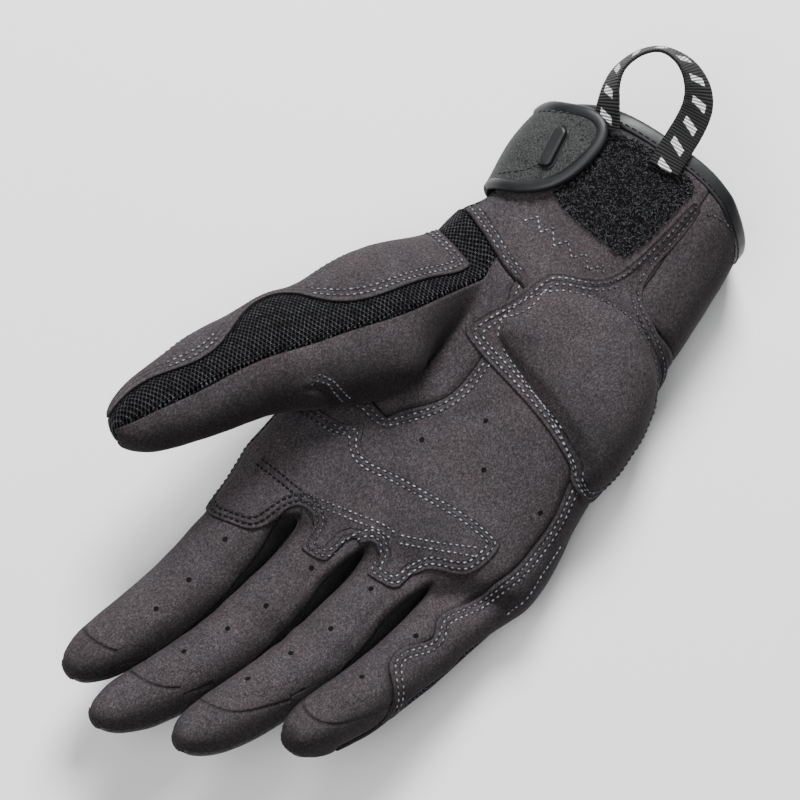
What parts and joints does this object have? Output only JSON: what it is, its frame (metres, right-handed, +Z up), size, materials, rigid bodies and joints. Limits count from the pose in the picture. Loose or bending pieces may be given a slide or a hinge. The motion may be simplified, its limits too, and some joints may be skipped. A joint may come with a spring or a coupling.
{
  "type": "motorcycle glove",
  "caption": "Right-hand motorcycle glove lying palm up, suede palm with padded heel, black mesh back, strap closure and pull loop at the cuff.",
  "frame": {"origin": "on the surface that the glove rests on, under the middle of the hand", "axes": "+Z up out of the palm, -Y toward the fingertips, +Y toward the cuff, -X toward the thumb, +X toward the little finger"},
  "size_m": [0.1277, 0.2686, 0.0597],
  "materials": {
    "suede": "napped suede, dark warm grey",
    "suede_patch": "napped suede, a little darker",
    "mesh_fabric": "black open knit",
    "stretch_fabric": "black stretch fabric",
    "fleece": "black looped fleece of the closure",
    "woven": "dense dark green-grey weave",
    "rubber": "smooth black, half gloss",
    "webbing": "black ribbed webbing"
  },
  "bodies": {
    "root": {"palm_panel": "suede", "side_panel": "suede", "thumb_panel": "suede", "thumb_patch": "suede", "wrist_panel": "suede", "cuff_side_panel": "suede", "thumb_mesh": "mesh_fabric", "back_panel": "mesh_fabric", "fourchette_1": "stretch_fabric", "fourchette_2": "stretch_fabric", "fourchette_3": "stretch_fabric", "index_side_strip": "stretch_fabric", "knuckle_patch": "suede_patch", "heel_patch": "suede_patch", "loop_landing": "fleece", "closure_tab": "woven", "tab_binding": "rubber", "tab_grip": "rubber", "cuff_binding": "rubber", "pull_loop": "webbing"}
  },
  "joints": []
}
